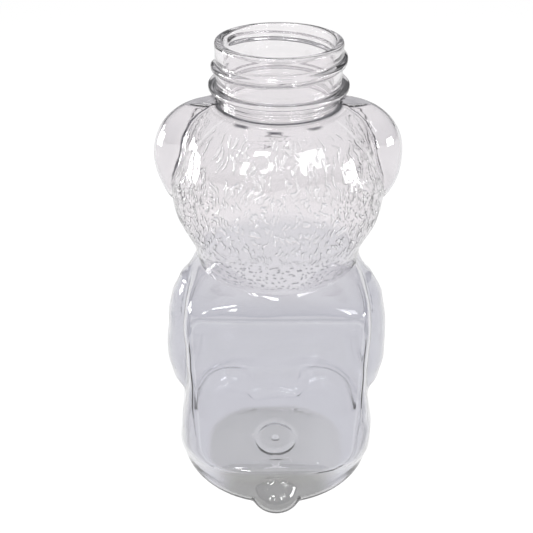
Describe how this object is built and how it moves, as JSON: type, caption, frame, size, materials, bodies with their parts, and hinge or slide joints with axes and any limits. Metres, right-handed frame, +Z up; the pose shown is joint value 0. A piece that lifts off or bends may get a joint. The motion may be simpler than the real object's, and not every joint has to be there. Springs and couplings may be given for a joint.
{
  "type": "honey bear bottle",
  "caption": "Clear blown bottle shaped like a sitting bear, with a wide open neck, a support ring, a flat label panel on its back and a push-up base.",
  "frame": {"origin": "on the neck's axis, on the surface that the bottle stands on", "axes": "+Z up along the neck's axis, +Y the way the bear faces, -Y the side of the label panel and tail"},
  "size_m": [0.0756, 0.072, 0.1562],
  "materials": {
    "clear_wall": "clear blown plastic, glossy, with fine fur lines moulded into the head"
  },
  "bodies": {
    "root": {"neck_finish": "clear_wall", "head": "clear_wall", "torso": "clear_wall", "hips": "clear_wall"}
  },
  "joints": []
}
